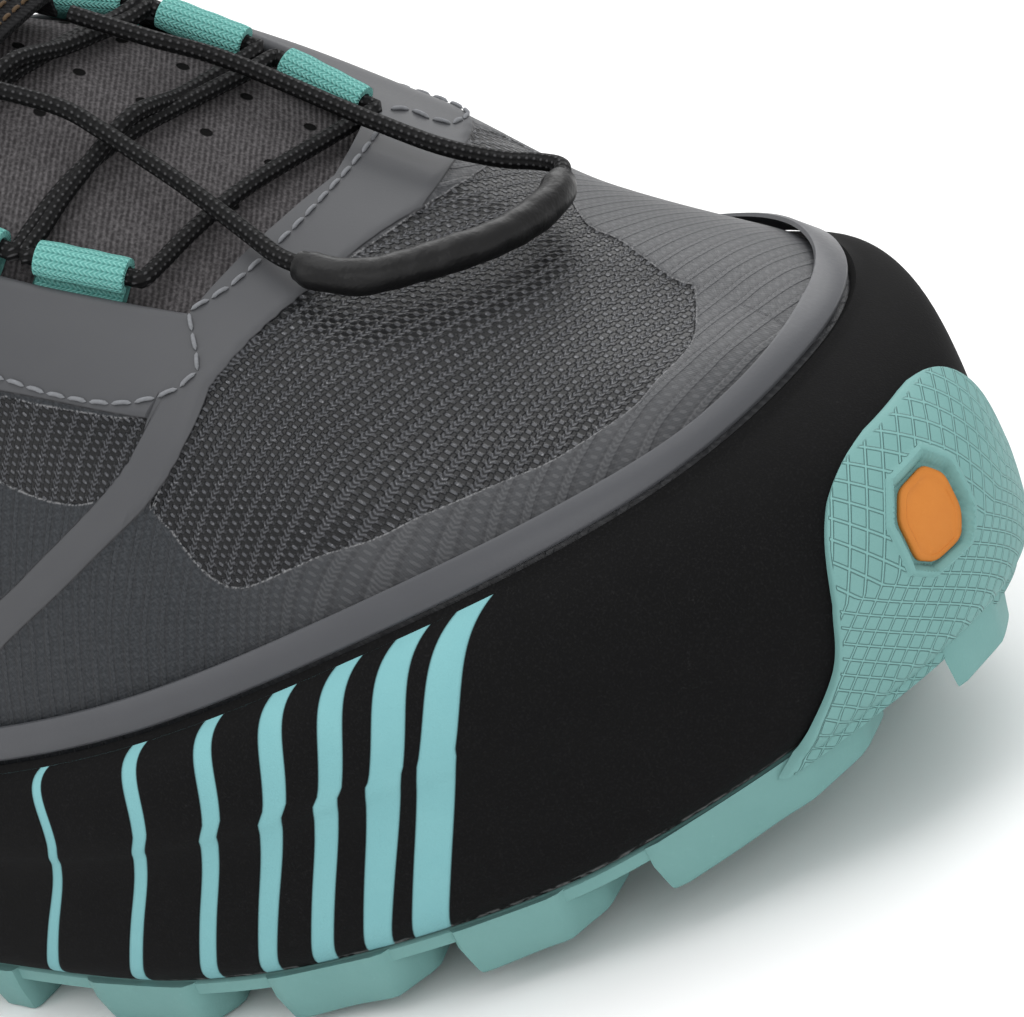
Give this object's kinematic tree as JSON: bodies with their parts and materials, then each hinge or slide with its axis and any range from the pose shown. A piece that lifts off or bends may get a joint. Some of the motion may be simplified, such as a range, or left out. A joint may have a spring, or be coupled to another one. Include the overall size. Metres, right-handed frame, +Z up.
{
  "type": "trail running shoe",
  "caption": "Low trail running shoe for the right foot, with a deep lugged outsole, a toe bumper, a thick foam midsole and a laced mesh upper.",
  "frame": {"origin": "on the ground under the middle of the shoe's bounding box", "axes": "+X towards the toe, +Y towards the medial side, +Z up from the ground"},
  "size_m": [0.2943, 0.1082, 0.1253],
  "materials": {
    "rubber_teal": "matt moulded rubber with a fine grain",
    "foam_black": "velvety closed-cell foam",
    "inset_orange": "matt moulded rubber",
    "mesh_grey": "woven mesh under a thin film",
    "film_grey": "thin welded film with a soft sheen",
    "knit_grey": "ribbed knit",
    "webbing_teal": "knitted webbing",
    "lace_black": "round braid",
    "sheath_black": "satin rubber sleeve",
    "lining_black": "plain cloth"
  },
  "bodies": {
    "root": {"midsole": "foam_black", "outsole": "rubber_teal", "toe_inset": "inset_orange", "insole": "lining_black", "upper": "mesh_grey", "tongue": "knit_grey", "eyestay": "film_grey", "rim_strip": "film_grey", "heel_counter": "film_grey", "heel_pull_loop": "webbing_teal", "lace_bar": "lace_black", "lace_cross_1": "lace_black", "lace_cross_2": "lace_black", "lace_cross_3": "lace_black", "lace_tail_lateral": "lace_black", "lace_tail_medial": "lace_black", "lace_sheath": "sheath_black", "lace_keeper": "lining_black", "lace_loop_lateral_1": "webbing_teal", "lace_loop_lateral_2": "webbing_teal", "lace_loop_lateral_3": "webbing_teal", "lace_loop_lateral_4": "webbing_teal", "lace_loop_medial_1": "webbing_teal", "lace_loop_medial_2": "webbing_teal", "lace_loop_medial_3": "webbing_teal", "lace_loop_medial_4": "webbing_teal"}
  },
  "joints": []
}
